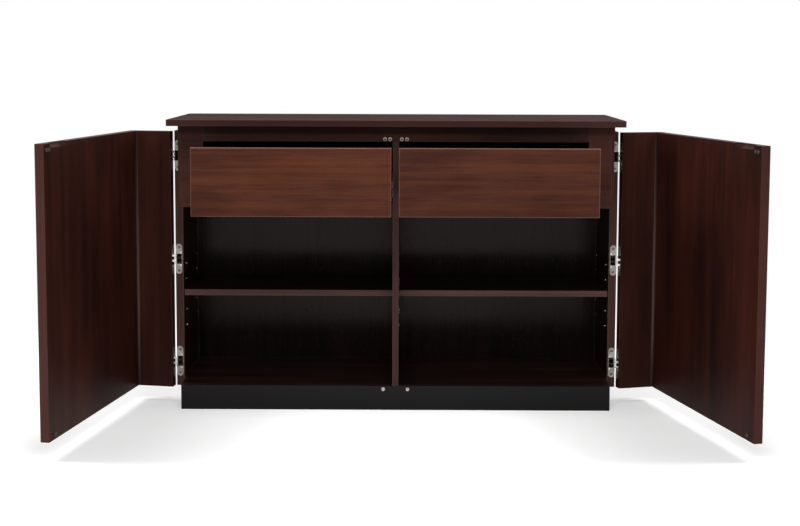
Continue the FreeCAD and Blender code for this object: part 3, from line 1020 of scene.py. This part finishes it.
# %% Magnets, strikes and bumpers
CATCH_PITCH = 16.0
low, middle, high = shut_mm("rail_magnets")
RAIL_Z, outer_catch = middle[Z], low[X] + (high[Z] - low[Z]) / 2
CATCH_X = (outer_catch + CATCH_PITCH, outer_catch)
low, middle, high = shut_mm("plinth_bumpers")
PAD_Z, PAD_X = middle[Z], low[X] + (high[Z] - low[Z]) / 2
FRONT_Y = shut_mm("drawer_case_rail")[0][Y]
DOOR_BACK_Y = shut_mm("left_door_front_panel", opened("left"))[2][Y]
dark_core = soft_pad("magnet_core", colour(52, 46, 44), 0.45)

ring = turned([(5.8, 0), (5.8, 4.5), (5.5, 4.9), (5.1, 5), (3.6, 5), (3.3, 4.8), (3.2, 3.4)], 32)
core = turned([(3.15, 3), (3.15, 4.15), (2.9, 4.3), (1.7, 4.3), (1.5, 3.9), (0.5, 3.85)])
rail = [MIRROR[side] @ facing((0, -1, 0), (x, FRONT_Y, RAIL_Z)) for side in SIDES for x in CATCH_X]
copies("rail_catches", ring, rail, "cabinet", catch_nickel, ["rail_magnets"])
copies("rail_catch_cores", core, rail, "cabinet", dark_core)

rim = [(5.8, 0), (5.8, 3.2), (5.4, 4.3), (4.6, 5)]
pad = turned(rim + [(3.5, 5), (3.0, 4.5), (2.8, 3.9), (0.6, 3.8)], 32)
pads = [MIRROR[side] @ facing((0, -1, 0), (PAD_X, FRONT_Y, PAD_Z)) for side in SIDES]
copies("plinth_pads", pad, pads, "cabinet", pale_bumper, ["plinth_bumpers"])

rim = [(5.8, 0), (5.8, 2.6), (5.3, 3.3), (4.6, 3.5), (3.0, 3.5)]
strike = turned(rim + [(2.8, 3.1), (2.7, 2.5), (0.4, 2.5)], 32)
carved(strike, cross_tool(length=3.2, width=0.8, depth=1.0, top=2.9))
for side in SIDES:
    spots = [(x, DOOR_BACK_Y, RAIL_Z) for x in CATCH_X] + [(PAD_X, DOOR_BACK_Y, PAD_Z)]
    places = [opened(side) @ MIRROR[side] @ facing((0, 1, 0), spot) for spot in spots]
    name, hidden = side + "_strikes_fine", [side + "_door_strikes"]
    copies(name, strike, places, side + "_door", strike_steel, hidden)
for tool in (ring, core, pad, strike):
    bpy.data.objects.remove(tool)

# %% Shelf pins and sleeves
PIN_PITCH = 50.0
low, middle, high = shut_mm("shelf_pins")
PIN_Z, pin_radius = middle[Z], (high[Z] - low[Z]) / 2
COLUMNS = (low[Y] + pin_radius, high[Y] - pin_radius)
WALLS = ((shut_mm("side_panel_left")[2][X], 1), (shut_mm("centre_partition")[0][X], -1))
print("pins at Z", PIN_Z, "in columns", COLUMNS, "on walls", WALLS)


def wall_places(offsets):
    """Where the pins or sleeves go: two walls, two columns, and the heights above the pin."""
    return [
        MIRROR[side] @ facing((inward, 0, 0), (x, y, PIN_Z + offset))
        for side in SIDES
        for x, inward in WALLS
        for y in COLUMNS
        for offset in offsets
    ]


shank = [(2.3, -8), (2.45, -7.6), (2.45, 0.05)]
collar = [(4.2, 0.05), (4.55, 0.3), (4.55, 0.9), (4.2, 1.15)]
pin = turned(shank + collar + [(3.5, 1.2), (3.5, 7.9), (3.2, 8.7), (2.6, 9.0), (0.5, 9.0)])
copies("shelf_pins_fine", pin, wall_places((0,)), "cabinet", pin_nickel, ["shelf_pins"])
outside = [(2.3, -8.2), (2.42, -8), (2.42, 0.05)]
flange = [(3.3, 0.05), (3.3, 0.5), (3.1, 0.9), (2.8, 1.1), (2.4, 1.1), (2.1, 0.9)]
sleeve = turned(outside + flange + [(2.0, 0.5), (2.0, -7.5), (0.4, -7.6)])
spare = [PIN_PITCH * step for step in (-2, -1, 1, 2)]
copies("hole_sleeves", sleeve, wall_places(spare), "cabinet", pin_nickel)
for tool in (pin, sleeve):
    bpy.data.objects.remove(tool)

# %% [markdown]
# ## Corner beads
#
# A pale line runs down the inner corner of each door, where its two wings are mitred. It is modelled
# as a slim cove over the glued joint, though it may be no more than light on the joint itself: it is
# brightest at mid-height and nearly gone at both ends. It is modelled as a slim cove over the glued
# joint, and its pale colour is a painted highlight: it is brightest at mid-height and fades to the
# door's dark colour at both ends, as a reflection would. A square strip is drawn to length, and its
# free edge is bevelled with a hollow profile.

# %% The bead in each door's corner
BEAD, BEAD_LIP, BEAD_HOLLOW = 6.0, 0.8, 0.12
low, _, high = shut_mm("left_door_side_panel", opened("left"))
DOOR_INNER_X, DOOR_LOW, DOOR_HIGH = high[X], low[Z], high[Z]
END_GAP = 2.0
BEAD_HIGHLIGHT_DARK, BEAD_HIGHLIGHT_LIGHT = colour(54, 38, 36), colour(78, 60, 57)
HIGHLIGHT_FROM, HIGHLIGHT_UNTIL = (-0.02, 0.25), (0.36, 0.95)
GRAIN_ACROSS, GRAIN_ALONG, BEAD_SEED = 700, 10, 5.0


def corner_bead():
    """A strip along Z with its square corner at the origin and its hollow towards +X and +Y."""
    bpy.ops.object.select_all(action="DESELECT")
    bpy.ops.mesh.primitive_cube_add(size=MM)
    bpy.ops.object.mode_set(mode="EDIT")
    half, high = BEAD / 2, DOOR_HIGH - DOOR_LOW - 2 * END_GAP
    bpy.ops.transform.resize(value=(BEAD, BEAD, high))
    bpy.ops.transform.translate(value=(half * MM, half * MM, (high / 2 + DOOR_LOW + END_GAP) * MM))
    pick("VERT", lambda place, normal: min(place.x, place.y) > half * MM)
    bpy.ops.mesh.bevel(offset=(BEAD - BEAD_LIP) * MM, segments=6, profile=BEAD_HOLLOW)
    return close_up()


bead = corner_bead()
place = Matrix.Translation((DOOR_INNER_X * MM, DOOR_BACK_Y * MM, 0))
for side in SIDES:
    finish = Finish(side + "_bead_painted_highlight")
    where, axes = board_place(finish, opened(side))
    fine = stretched(finish, where, "Z", GRAIN_ACROSS, GRAIN_ALONG, BEAD_SEED)
    grain = finish.noise(fine, detail=3.0)
    # The pale colour is a painted highlight, brightest at mid-height and gone at both ends.
    painted_highlight = axes[Z].step(*HIGHLIGHT_FROM) * (1 - axes[Z].step(*HIGHLIGHT_UNTIL))
    highlight_grain = finish.mix(grain, BEAD_HIGHLIGHT_DARK, BEAD_HIGHLIGHT_LIGHT)
    surface = finish.surface(
        Base_Color=finish.mix(painted_highlight, LOOKS["door"]["dark"], highlight_grain),
        Roughness=0.3 + grain * 0.15,
        Specular_IOR_Level=0.12,
        Normal=finish.node("Bump", {"Strength": 0.2, "Distance": 0.0001, "Height": grain}),
    )
    spots = [opened(side) @ MIRROR[side] @ place]
    copies(side + "_corner_bead", bead, spots, side + "_door", surface)
bpy.data.objects.remove(bead)

# %% [markdown]
# ## Back screws
#
# The back panel stands between the side panels and is screwed on from behind. Its screws aren't in the
# photograph. They are small pan heads, and each one is placed over the mid-thickness of the board that
# it bites into: the bottom board, the decks under the drawers, the sides of their case, the partition.

# %% Screws in the back panel
BACK_MARGIN = 9.0
low, _, high = shut_mm("back_panel")
BACK_Y = high[Y]
BOTTOM_ROW = np.linspace(low[X] + BACK_MARGIN, high[X] - BACK_MARGIN, 7)
DECK_ROW = (220.0, 440.0)
PARTITION_COLUMN = (180.0, 345.0, 510.0, 675.0, 840.0)
CASE_COLUMN = (720.0, 840.0)
head = turned([(1.2, -0.5), (1.2, 0.02), (3.1, 0.02), (3.1, 0.5), (2.7, 1.2), (1.8, 1.6), (0.6, 1.7)])
carved(head, cross_tool(length=2.8, width=0.7, depth=1.2, top=1.9))


def back_screw_places():
    bottom_z = shut_mm("bottom_board")[1][Z]
    partition_x = shut_mm("centre_partition")[1][X]
    spots = [(x, bottom_z) for x in BOTTOM_ROW] + [(partition_x, z) for z in PARTITION_COLUMN]
    for side, sign in SIDES.items():
        deck_z = shut_mm("drawer_case_deck_" + side)[1][Z]
        upright_x = shut_mm("drawer_case_side_" + side)[1][X]
        spots += [(sign * x, deck_z) for x in DECK_ROW] + [(upright_x, z) for z in CASE_COLUMN]
    return [facing((0, 1, 0), (x, BACK_Y, z)) for x, z in spots]


copies("back_screws", head, back_screw_places(), "cabinet", screw_steel)
bpy.data.objects.remove(head)


# %% [markdown]
# ## The studio
#
# The photograph is a catalogue picture on white. The world is white only for the rays that look at
# it, straight or by a mirror or glass, and dim for the rest. The floor is a pale matt plane that
# keeps the object's shadow. A glow of up to about half of white, which only those same rays see, lifts
# it by the plinth and in the middle, where the photograph is paler than these lamps make it. Further
# out it fades to white.

# %% Rays that look
def seen_ray(formula):
    """1 for the rays that look at the background, straight or by a mirror or glass."""
    kinds = ("Camera", "Glossy", "Transmission")
    rays = [formula.node("LightPath", (), f"Is {kind} Ray") for kind in kinds]
    return rays[0].most(rays[1]).most(rays[2])


# %% The floor
FLOOR_SIZE = 60
FLOOR_PALE, WHITE = (0.9, 0.9, 0.9, 1), (1, 1, 1, 1)
GLOW, GLOW_BY_PLINTH, GLOW_MIDDLE = 0.01, 0.27, 0.24
BY_PLINTH_Y, MIDDLE_X = (-0.72, -0.28), (0.3, 0.78)
FADE_REACH = (1.25, 1.9)


def pale_floor():
    bpy.ops.mesh.primitive_plane_add(size=FLOOR_SIZE, location=(0, 0, 0))
    floor = bpy.context.object
    floor.name = "floor"
    finish = Finish("pale_floor")
    matt = finish.node("BsdfDiffuse", {"Color": FLOOR_PALE})
    unlit = finish.node("Emission", {"Color": WHITE, "Strength": 0.0})
    white = finish.node("Emission", {"Color": WHITE, "Strength": 1.0})
    place = finish.node("TexCoord", (), "Object")
    by_plinth = finish.node("SeparateXYZ", [place], "Y").step(*BY_PLINTH_Y)
    middle = 1 - finish.node("SeparateXYZ", [place], "X").unsigned().step(*MIDDLE_X)
    share = by_plinth * GLOW_BY_PLINTH + middle * GLOW_MIDDLE + GLOW
    glow = finish.node("MixShader", {0: share, 1: unlit, 2: white})
    near = finish.node("AddShader", [matt, glow])
    reach = finish.node("VectorMath", [place], "Value", operation="LENGTH")
    lit = finish.node("MixShader", {0: reach.step(*FADE_REACH), 1: near, 2: white})
    seen = finish.node("MixShader", {0: seen_ray(finish), 1: matt, 2: lit})
    finish.node("OutputMaterial", {"Surface": seen})
    floor.data.materials.append(finish.material)
    return floor


# %% [markdown]
# A dim world and five soft lamps light the object. One stands high in front and one low in front, one
# hangs overhead, and one to each side reaches into the open doors and draws their shadows on the
# floor. The level was measured with a flat grey card on the boards: facing the front it gets 1.2 times
# the light at which a colour renders as it is written, on the open doors 0.7 to 1.1 times, on the
# plinth 0.7, and on top 1.8. So only the top is lit much more than it should be.

# %% World and lamps
AMBIENT = 0.16


def studio_world(ambient):
    world = bpy.data.worlds.new("studio")
    scene.world = world
    world.use_nodes = True
    sky = Formula(world.node_tree)
    strength = seen_ray(sky) * (1.0 - ambient) + ambient
    background = sky.node("Background", {"Color": WHITE, "Strength": strength})
    sky.node("OutputWorld", {"Surface": background})


def soft_lamp(name, place, target, size, watts):
    light = bpy.data.lights.new(name, "AREA")
    light.shape = "RECTANGLE"
    light.size, light.size_y = size
    light.energy = watts
    lamp = bpy.data.objects.new(name, light)
    scene.collection.objects.link(lamp)
    lamp.location = place
    lamp.rotation_euler = (Vector(target) - Vector(place)).to_track_quat("-Z", "Y").to_euler()


bpy.ops.object.select_all(action="DESELECT")
pale_floor()
studio_world(AMBIENT)
soft_lamp("front", place=(0, -3.7, 3.3), target=(0, -0.3, 0.5), size=(2.4, 1.0), watts=84)
soft_lamp("overhead", place=(0, -1.5, 3.6), target=(0, -0.3, 0.4), size=(2.4, 0.9), watts=34)
soft_lamp("low_front", place=(0, -3.6, 0.35), target=(0, -0.2, 0.6), size=(2.6, 0.5), watts=10)
for side, sign in SIDES.items():
    place, target = (sign * 3.1, -0.3, 3.3), (sign * 0.3, -0.6, 0)
    soft_lamp("side_" + side, place, target, size=(1.1, 1.8), watts=115)
print(len(bpy.data.lights), "lamps")


# %% [markdown]
# ## The camera
#
# The place and the lens come from fitting a camera to the corners of the boards. In the photograph
# the uprights are parallel, which takes a large vertical shift and no tilt. That shift would crop the
# other views, so here it is smaller and the rest is a downward tilt. The price is that the uprights
# lean together toward the floor, by a few pixels at the doors' free edges.

# %% The photograph's view
def photo_camera(place, yaw, pitch, roll, lens, shift_x, shift_y):
    """A camera that looks toward +Y and is turned by three angles in degrees. The lens is in mm."""
    data = bpy.data.cameras.new("photo_camera")
    camera = bpy.data.objects.new("photo_camera", data)
    scene.collection.objects.link(camera)
    yaw, pitch, roll = (math.radians(angle) for angle in (yaw, pitch, roll))
    ahead = Vector((math.sin(yaw) * math.cos(pitch), math.cos(yaw) * math.cos(pitch), -math.sin(pitch)))
    level = Vector((math.cos(yaw), -math.sin(yaw), 0))
    up = level.cross(ahead)
    right = level * math.cos(roll) + up * math.sin(roll)
    above = up * math.cos(roll) - level * math.sin(roll)
    turn = Matrix((right, above, -ahead)).transposed()
    camera.matrix_world = Matrix.Translation(place) @ turn.to_4x4()
    data.sensor_width = 36
    data.lens = lens
    data.shift_x, data.shift_y = shift_x, shift_y
    data.clip_end = 200
    scene.camera = camera
    print("camera at", place, "with a lens of", lens, "mm")


photo_camera(
    place=(0.0324, -4.4169, 1.1026),
    yaw=-0.301,
    pitch=5.271,
    roll=0.178,
    lens=61.717,
    shift_x=0.001,
    shift_y=-0.1,
)
